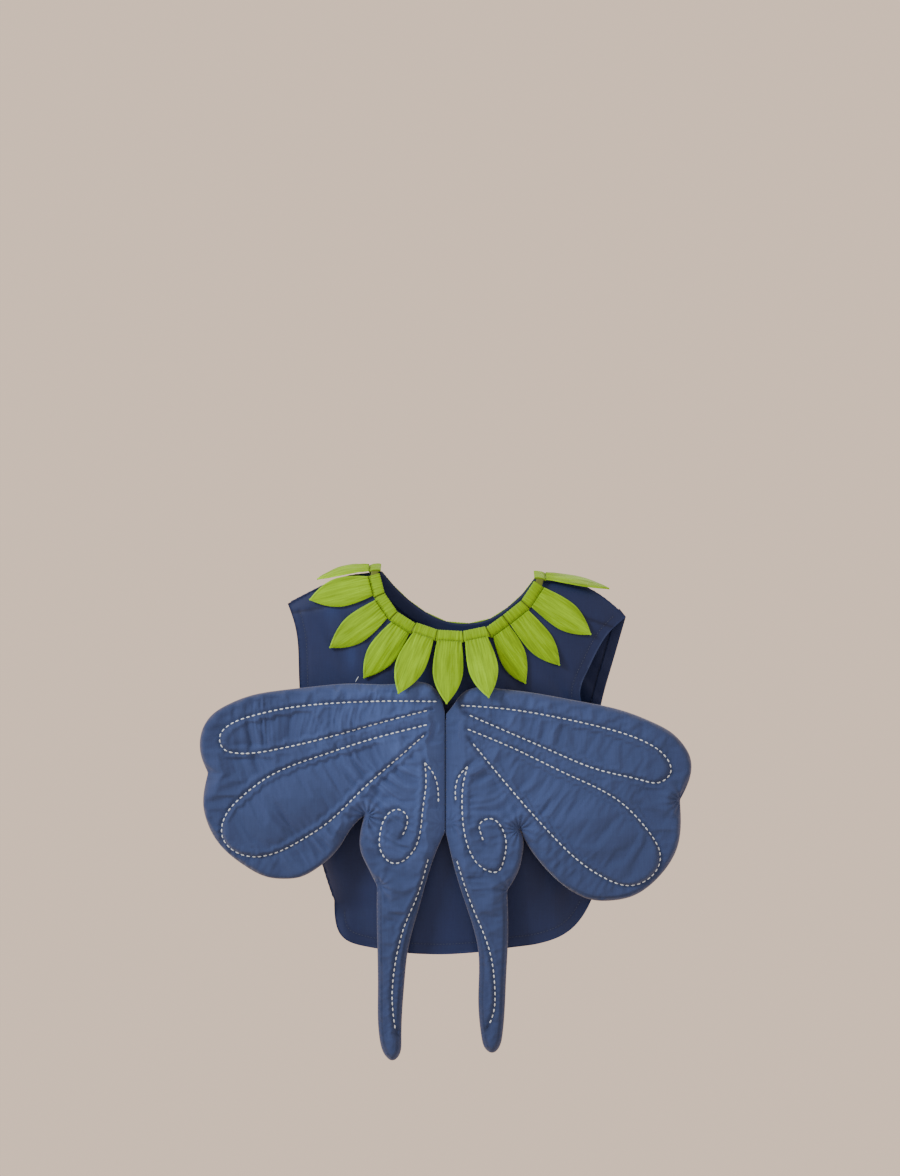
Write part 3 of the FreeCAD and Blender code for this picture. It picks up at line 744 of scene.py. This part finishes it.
def make_panel(name, side):
    """One of the vest's two panels of cloth, with its rows of stitches pressed in."""
    outline = closed_outline(panel_stretches(name), EDGE_STEP)
    neck, _, right_armhole, _, hem, _, left_armhole, _ = panel_stretches(name)
    rows = [drawn_in(natural_spline(hem, PANEL_STEP), HEM_STITCH)[4:-4]]
    for edge in (right_armhole, left_armhole):
        rows.append(drawn_in(natural_spline(edge, PANEL_STEP), ARMHOLE_STITCH)[4:-4])
    seams = [natural_spline(line, PANEL_STEP) for line in BACK_SHOULDER_LINES] if side < 0 else []
    flat, triangles = fill_outline(outline, rows + seams, PANEL_STEP)
    x, z = flat[:, 0], flat[:, 1]
    off_row, _ = nearest(flat, np.concatenate([natural_spline(row, 0.6) for row in rows]))
    dent = 0.45 * np.exp(-(off_row / 1.8) ** 2)
    # Painted shade in the grooves of the stitch rows.
    tone = 1.0 - 0.14 * np.exp(-(off_row / 1.6) ** 2)
    if seams:
        off_seam_line, _ = nearest(flat, np.concatenate([natural_spline(seam, 0.6) for seam in seams]))
        dent += 0.6 * np.exp(-(off_seam_line / 1.4) ** 2)
        # Painted shade in the grooves of the back's shoulder seams.
        tone -= 0.35 * np.exp(-(off_seam_line / 1.5) ** 2)
        # Painted sheen: highlights at the sheen spots on the back's upper left.
        for spot_x, spot_z, wide, tall in SHEEN_SPOTS:
            tone += 0.55 * np.exp(-((x - spot_x) / wide) ** 2 - ((z - spot_z) / tall) ** 2)
    tone += 0.16 * wander(x, z, (26, 60), 21 + side)
    # Darker towards the right.
    tone -= 0.12 * smooth((x - 20) / 120)
    y = vest_y(x, z, side)
    outer = np.stack([x, y - side * dent, z], axis=1)
    inner = np.stack([x, y - side * CLOTH_THICKNESS, z], axis=1)
    count = len(flat)
    faces = list(triangles) + [tuple(i + count for i in reversed(face)) for face in triangles]
    rim = range(len(outline))
    faces += [(b, a, a + count, b + count) for a, b in zip(rim, [*rim[1:], 0])]
    piece = new_piece("vest_%s_cloth" % name, np.concatenate([outer, inner]), faces, vest_cloth)
    turn_outward(piece)
    dress(piece, np.tile(np.stack([x, z, y], axis=1), (2, 1)), np.tile(tone, 2), "vest",
          ["vest_%s_panel" % name])

    surface = surface_of(piece)
    runs = []
    for row in rows:
        runs += running_stitches(row, surface, -side, 3.3, 2.4, lift=0.05)
    stitches = vest_stitches("vest_%s_stitches" % name, runs, 0.26, 0.24, blue_thread)
    bands = [stitches, make_band("neck_facing_%s" % name, neck, FACING_WIDTHS["neck"], side),
             make_band("hem_fold_%s" % name, hem, FACING_WIDTHS["hem"], side),
             make_band("armhole_facing_right_%s" % name, right_armhole, FACING_WIDTHS["armhole"], side),
             make_band("armhole_facing_left_%s" % name, left_armhole, FACING_WIDTHS["armhole"], side)]


def make_band(name, stretch, width, side):
    """A strip of cloth turned in behind one of the panel's edges."""
    edge = natural_spline(stretch, EDGE_STEP)
    columns = [drawn_in(edge, width * share) for share in np.linspace(0.02, 1, 7)]
    grid = np.stack(columns, axis=1)
    x, z = grid[..., 0], grid[..., 1]
    y = vest_y(x.ravel(), z.ravel(), side, CLOTH_THICKNESS + FACING_GAP).reshape(x.shape)
    puff = 0.25 * wander(x, z, 9, 31)
    outer = np.stack([x, y, z], axis=2)
    inner = np.stack([x, y - side * (FACING_THICKNESS + puff * 0.3), z], axis=2)
    piece = slab(name + "_cloth", outer, inner, vest_cloth)
    grain = np.tile(np.stack([z, x, y], axis=2).reshape(-1, 3), (2, 1))
    dress(piece, grain, np.full(len(grain), 0.95), "vest", [name])
    return piece


def make_seam(name, edge):
    """A rolled seam along the edge where the two panels meet."""
    line = drawn_in(natural_spline(edge, 2.0)[:-1], 0.5)[2:-2]
    ahead = np.gradient(line, axis=0)
    ahead /= np.linalg.norm(ahead, axis=1)[:, None]
    aside = np.stack([-ahead[:, 1], ahead[:, 0]], axis=1)
    sides = 14
    rings = []
    for i, (place, way) in enumerate(zip(line, aside)):
        roll = 1 + 0.12 * math.sin(i * 1.9)
        ring = []
        for k in range(sides):
            angle = 2 * math.pi * k / sides
            spot = place + way * (1.25 * math.cos(angle) * roll)
            ring.append((spot[0], 3.1 * math.sin(angle), spot[1]))
        rings.append(ring)
    piece = tube(name + "_roll", np.array(rings), vest_cloth)
    points = points_of(piece)
    dress(piece, points[:, [2, 0, 1]], np.full(len(points), 0.92), "vest", [name])


def tube(name, rings, material, closed=False):
    """A closed piece through rings of points, capped at its ends unless the last ring meets the first."""
    count, sides = rings.shape[:2]
    faces = ring_faces(0, count, sides)
    if closed:
        last = (count - 1) * sides
        faces[-2:] = [(last + k, last + (k + 1) % sides, (k + 1) % sides, k) for k in range(sides)]
    piece = new_piece(name, rings.reshape(-1, 3), faces, material)
    turn_outward(piece)
    return piece


def make_vest():
    make_panel("back", -1)
    make_panel("front", 1)
    make_seam("side_seam_right", RIGHT_SIDE)
    make_seam("side_seam_left", LEFT_SIDE)
    make_seam("shoulder_seam_right", [BACK_NECK[-1]] + RIGHT_SHOULDER)
    make_seam("shoulder_seam_left", LEFT_SHOULDER + [BACK_NECK[0]])


# ---------------------------------------------------------------- collar

CASING_DEPTH = 12.5
CASING_RADII = (6.2, 1.6)
CASING_DIP = 1.1
CASING_HEIGHT = 2.6
BAND_DEPTH = 6.0
STITCH_ROW_DEPTH = 10.9
LEAF_OUTER = 3.4
LEAF_THICKNESS = 1.6
LEAF_WIDEST_AT = 0.46
LEAF_WIDTHS = [31, 31, 31, 31, 31.5, 31, 28.5, 28.5, 31, 30, 26, 24, 27, 29, 30, 29, 28, 24, 25, 30]
BAND_SECTION = ((-4, -0.35), (-3.6, 0.4), (-1.3, 0.32), (1.3, 0.32), (3.6, 0.4), (4, -0.35), (1.3, -0.45),
                (-1.3, -0.45))
SHOULDER_LEAVES = (10, 20)
# How far each shoulder leaf's root is sunk, and how far its tip droops beyond that.
SHOULDER_DROOP = {10: (3.2, 5.0), 20: (0.8, 14.0)}


def read_leaf(number):
    """A leaf's root on its outer face, its unit directions along the neckline, down the leaf and out from the
    vest, and its length, lean and half width at the root."""
    joint = JOINTS["leaf_%02d_lift" % number]
    part = frame["nodes"]["leaf_%02d" % number]
    place = np.array(part.matrix_world)
    points = (points_of(part) * MM @ place[:3, :3].T + place[:3, 3]) / MM
    root = np.array(joint["pos_m"]) / MM
    along = -np.array(joint["axis"])
    out = np.linalg.svd(points - points.mean(0), full_matrices=False)[2][2]
    if np.dot(root - points.mean(0), out) < 0:
        out = -out
    down = np.cross(along, out)
    reach = (points - root) @ down
    across = (points - root) @ along
    half = np.abs(across[reach < 0.1]).max()
    return {"root": root, "along": along, "down": down, "out": out, "length": reach.max(),
            "lean": across[reach.argmax()], "half": half,
            "top": root - down * CASING_DEPTH - out * LEAF_OUTER}


def make_leaf(number, leaf):
    """The free part of a leaf: two layers of cloth, gathered at the root and pressed flat at the edge."""
    name = "leaf_%02d" % number
    u, v = np.meshgrid(1 - (1 - np.linspace(0, 1, 56)) ** 1.25, np.linspace(-1, 1, 33), indexing="ij")
    widest = LEAF_WIDTHS[number - 1] / 2
    root_half = leaf["half"] + 0.4
    early = root_half + (widest - root_half) * np.sin(math.pi / 2 * np.clip(u / LEAF_WIDEST_AT, 0, 1))
    late = widest * (1 - np.clip((u - LEAF_WIDEST_AT) / (1 - LEAF_WIDEST_AT), 0, 1) ** 1.95)
    half = np.maximum(np.where(u < LEAF_WIDEST_AT, early, late), 1.0)
    bend = 1.8 * wander(number * 3.7, 0.5, 1, 40)[0]
    a = half * v + leaf["lean"] * u + bend * np.sin(math.pi * u)
    d = leaf["length"] * u
    edge = half * (1 - np.abs(v))
    gather = 0.42 * np.exp(-d / 13) * np.cos(2 * math.pi * half * v / 3.1 + 5 * wander(a, d * 0.3, 9, number))
    crinkle = 0.55 * wander(a, d, (5.5, 34), 50 + number) * smooth(edge / 4) * smooth(d / 8)
    cup = 1.3 * (1 - v ** 2) * np.sin(math.pi * np.clip(u, 0, 1)) ** 0.8
    seam = 0.22 * np.exp(-((edge - 1.7) / 0.7) ** 2)
    curl = 1.2 * smooth((u - 0.75) / 0.25) * (0.5 + 0.5 * math.sin(number))
    sink, droop = SHOULDER_DROOP.get(number, (0.0, 0.0))
    middle = -LEAF_THICKNESS / 2 + gather + crinkle + cup + curl - sink - droop * u ** 2.2
    thick = LEAF_THICKNESS / 2 * np.sqrt(1 - np.abs(v) ** 9 * 0.93)

    def placed(n):
        across, below, above = (part[..., None] for part in (a, d, n))
        return leaf["root"] + across * leaf["along"] + below * leaf["down"] + above * leaf["out"]

    piece = slab(name + "_cloth", placed(middle + thick + seam), placed(middle - thick), leaf_cloth)
    grain = np.stack([a + 61 * number, d, np.zeros_like(a)], axis=2).reshape(-1, 3)
    # Painted highlight along the leaf's edge, and painted shade in a line just inside it.
    tone = 1.0 + 0.42 * np.exp(-(edge / 0.9) ** 2) - 0.16 * np.exp(-((edge - 2.6) / 0.9) ** 2)
    # Painted light and shade on the gathers, and painted shade at the root.
    tone += 0.30 * gather - 0.14 * np.exp(-d / 1.6)
    tone += 0.26 * wander(a, d, (4.5, 26), 70 + number) + 0.06 * math.sin(number * 2.3)
    # Darker towards the leaf's long sides.
    tone *= 1.06 - 0.16 * np.abs(v) ** 3
    dress(piece, np.tile(grain, (2, 1)), np.tile(tone.ravel(), 2), name, [name])
    if number == 5:
        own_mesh(piece)


def spread_of(leaf, neighbour):
    """How fast a casing's side must open, down the leaf, to meet its neighbour's."""
    between = leaf["down"] + neighbour["down"]
    return abs(between @ leaf["along"]) / (between @ leaf["down"])


def soft_power(value, power):
    return np.sign(value) * np.abs(value) ** power


def make_casings(leaves):
    """The leaves' folded tops, gathered on the elastic, and the row of stitches below it."""
    vertices, faces, grain, tone, runs = [], [], [], [], []
    rings, sides = 40, 30
    angle = np.linspace(0, 2 * math.pi, sides, endpoint=False)
    for number, leaf in leaves.items():
        spreads = []
        for step in (-1, 1):
            other = (number - 1 + step) % 20 + 1
            at_shoulder = number in SHOULDER_LEAVES or other in SHOULDER_LEAVES
            spreads.append(0.0 if at_shoulder else spread_of(leaf, leaves[other]))
        start = len(vertices)
        share = np.sin(math.pi / 2 * np.linspace(-1, 1, rings))[:, None]
        depth = CASING_RADII[0] * (1 + soft_power(np.cos(angle), 0.5))[None, :] + 0 * share
        opened = np.where(share < 0, spreads[0], spreads[1]) * depth
        a = share * (leaf["half"] + 0.5 + opened)
        ruffle = np.cos(2 * math.pi * a / 2.7 + 5.0 * wander(a, depth, (6, 12), 80 + number))
        ruffle = ruffle * (0.65 + 0.5 * wander(a, depth, (5, 8), 60 + number))
        height = CASING_RADII[1] * (1 + 0.13 * ruffle)
        height = height * (1 - 0.16 * np.exp(-((depth - STITCH_ROW_DEPTH) / 1.2) ** 2))
        sink = SHOULDER_DROOP.get(number, (0.0, 0.0))[0]
        height = height * np.where(np.sin(angle) > 0, 1 - 0.32 * smooth((depth - 5) / 7), 1.0)
        height = height * (0.35 + 0.65 * np.sqrt(1 - np.abs(share) ** 16))
        middle = CASING_HEIGHT - sink - CASING_DIP * smooth((depth - 8) / 4.5)
        n = middle + height * soft_power(np.sin(angle), 0.75)[None, :]
        depth = depth + 0.35 * ruffle * np.cos(angle)[None, :]
        points = (leaf["top"] + a[..., None] * leaf["along"] + depth[..., None] * leaf["down"]
                  + n[..., None] * leaf["out"])
        vertices.extend(points.reshape(-1, 3))
        grain.extend(np.stack([a + 61 * number, depth, n], axis=2).reshape(-1, 3))
        end = (1 - np.abs(share)) * leaf["half"]
        # Painted light and shade on the ruffles, painted shade at the row of stitches, and painted shade at each
        # casing's ends, between the leaves.
        tone.extend((0.96 + 0.12 * ruffle - 0.10 * np.exp(-((depth - 11.2) / 1.0) ** 2)
                     - 0.45 * np.exp(-(end / 0.6) ** 2)).ravel())
        faces += ring_faces(start, rings, sides)
        for first in np.arange(-leaf["half"] + 0.6, leaf["half"] - 1.5, 3.1):
            along = np.linspace(first, first + 2.1, 5)
            row = leaf["top"] + STITCH_ROW_DEPTH * leaf["down"] + (2.9 - sink) * leaf["out"]
            spots = [row + s * leaf["along"] for s in along]
            runs.append((np.array(spots), np.tile(leaf["out"], (5, 1))))
    piece = new_piece("leaf_casing_cloth", vertices, faces, leaf_cloth)
    turn_outward(piece)
    dress(piece, grain, tone, "vest", ["leaf_casings"])
    vest_stitches("collar_stitches", runs, 0.28, 0.3, green_thread)


def make_elastic(leaves):
    """The flat ribbed band of elastic that runs round through the casings."""
    rings = []
    for number, leaf in leaves.items():
        sink = SHOULDER_DROOP.get(number, (0.0, 0.0))[0]
        for share in np.linspace(-1, 1, 7):
            a = share * leaf["half"]
            ring = []
            for d, n in BAND_SECTION:
                ring.append(leaf["top"] + a * leaf["along"] + (BAND_DEPTH + d) * leaf["down"]
                            + (CASING_HEIGHT - sink + n) * leaf["out"])
            rings.append(ring)
    piece = tube("neck_elastic_band", np.array(rings), elastic_material, closed=True)
    points = points_of(piece)
    dress(piece, points[:, [0, 2, 1]], np.ones(len(points)), "vest", ["neck_elastic"])


def make_collar():
    leaves = {number: read_leaf(number) for number in range(1, 21)}
    make_casings(leaves)
    make_elastic(leaves)
    for number, leaf in leaves.items():
        make_leaf(number, leaf)


# ---------------------------------------------------------------- centre back

LOOSE_THREAD = (-104.5, -114.0)


def node_span(name):
    low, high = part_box(name)
    return np.array(low) / MM, np.array(high) / MM


def make_strip(stands_for, material):
    """A soft flat strip that fills a node's box, thinnest along its narrowest side, with worn edges."""
    low, high = node_span(stands_for)
    size = high - low
    thin = int(size.argmin())
    wide, tall = [k for k in range(3) if k != thin]
    counts = [max(4, int(size[k] / 2)) for k in (wide, tall)]
    p, q = np.meshgrid(np.linspace(0, 1, counts[0] + 1), np.linspace(0, 1, counts[1] + 1), indexing="ij")
    edge = np.minimum(np.minimum(p, 1 - p) * size[wide], np.minimum(q, 1 - q) * size[tall])
    ribs = 1 - 0.12 * (1 + np.cos(q * size[tall] * 2.2)) / 2
    half = size[thin] / 2 * (0.55 + 0.45 * smooth(edge / 0.8)) * ribs
    faces = []
    for way in (1, -1):
        grid = np.zeros(p.shape + (3,))
        grid[..., wide] = low[wide] + p * size[wide]
        grid[..., tall] = low[tall] + q * size[tall]
        grid[..., thin] = (low[thin] + high[thin]) / 2 + way * half
        faces.append(grid)
    piece = slab(stands_for + "_cloth", faces[0], faces[1], material)
    grain = np.tile(np.stack([p * size[wide], q * size[tall], 0 * p], axis=2).reshape(-1, 3), (2, 1))
    dress(piece, grain, np.full(len(grain), 0.95), "vest", [stands_for])


def make_centre_back():
    """The tape on the vest's centre back, the wings' seam allowance and its tacks, and the care label."""
    low, high = node_span("centre_back_tape")
    xs, zs = np.linspace(low[0], high[0], 10), np.linspace(low[2], high[2], 64)
    z, x = np.meshgrid(zs, xs, indexing="ij")
    face = -half_depth(x, z)
    rounded = 0.9 * np.sqrt(np.clip(1 - (np.abs(x - SEAM_X) / 9.1) ** 12, 0.1, 1))
    ribs = 0.05 * np.cos(z * 4.4)
    tape = slab("centre_back_tape_cloth", np.stack([x, face - 0.25 - rounded - ribs, z], axis=2),
                np.stack([x, face - 0.25, z], axis=2), vest_cloth)
    grain = np.tile(np.stack([x, z, face], axis=2).reshape(-1, 3), (2, 1))
    dress(tape, grain, np.full(len(grain), 1.1), "vest", ["centre_back_tape"])

    make_strip("wing_seam_allowance", wing_cloth)
    make_strip("care_label", label_material)

    low, high = node_span("wing_tacks")
    outward = np.tile(np.array([0.0, -1.0, 0.0]), (5, 1))
    x, z = LOOSE_THREAD
    y = vest_y([x], [z], -1)[0] - 0.4
    runs = [(np.array([(x + s * 0.55, y, z + s) for s in np.linspace(-3, 3, 5)]), outward)]
    for z in np.linspace(low[2] + 2, high[2] - 2, 9):
        for x in (low[0] + 1, high[0] - 1):
            spots = np.array([(x, -half_depth(x, z) - 1.35, z + s) for s in np.linspace(-2, 2, 5)])
            runs.append((spots, outward))
    tacks = vest_stitches("wing_tack_stitches", runs, 0.45, 0.35, white_thread)
    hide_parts("wing_tacks")


# ---------------------------------------------------------------- stage

CAMERA_LENS = 76.9
CAMERA_PLACE = (-0.00725, -2.645, -0.0186)
ROOM_LIGHT = (1.02, 0.77, 0.60, 1)
FLOOR_COLOR = (0.62, 0.56, 0.51, 1)
# Each light's name, place in metres, power in watts and size in metres.
LIGHTS = (("key", (-1.9, -1.3, 1.1), 44, 0.7),
          ("fill", (1.8, -1.6, 0.2), 5, 1.6),
          ("rear", (0.6, 2.2, 1.0), 22, 1.4))


def make_stage():
    """A pale floor below the hanging vest, soft lights, and the camera."""
    bpy.ops.mesh.primitive_circle_add(vertices=96, radius=1.25, fill_type="NGON", location=(0, 0, -0.95))
    floor = bpy.context.object
    floor.name = "floor"
    paint, _, shader = new_material("pale_floor", 0.9)
    shader.inputs["Base Color"].default_value = FLOOR_COLOR
    floor.data.materials.append(paint)

    world = bpy.data.worlds.new("studio")
    bpy.context.scene.world = world
    world.use_nodes = True
    world.node_tree.nodes["Background"].inputs["Color"].default_value = ROOM_LIGHT
    world.node_tree.nodes["Background"].inputs["Strength"].default_value = 1.0

    for name, place, power, size in LIGHTS:
        light = bpy.data.lights.new(name, "AREA")
        light.energy = power
        light.size = size
        lamp = bpy.data.objects.new(name, light)
        lamp.location = place
        lamp.rotation_euler = (Vector((0, 0, -0.25)) - Vector(place)).to_track_quat("-Z", "Y").to_euler()
        bpy.context.scene.collection.objects.link(lamp)

    lens = bpy.data.cameras.new("camera")
    lens.lens = CAMERA_LENS
    camera = bpy.data.objects.new("camera", lens)
    camera.location = CAMERA_PLACE
    camera.rotation_euler = (math.pi / 2, 0, 0)
    bpy.context.scene.collection.objects.link(camera)
    bpy.context.scene.camera = camera


CAD_LOOKS = {"vest_cloth": vest_cloth, "wing_cloth": wing_cloth, "collar_cloth": leaf_cloth,
             "thread": white_thread, "wadding": wadding_material, "elastic": elastic_material,
             "tape": vest_cloth, "label": label_material}


def paint_cad_nodes():
    """Gives every carried-over node its cloth, with the grain that the cloth reads."""
    slots = {part["node"]: part["material_slot"] for part in frame["record"]["subparts"]}
    for name, part in frame["nodes"].items():
        part.data.materials.clear()
        part.data.materials.append(CAD_LOOKS[slots[name]])
        points = points_of(part)
        set_grain(part, points[:, [0, 2, 1]])
        set_values(part, "shade", np.ones(len(points)))


paint_cad_nodes()
make_stage()
make_vest()
make_collar()
make_centre_back()
make_wing("left")
make_wing("right")
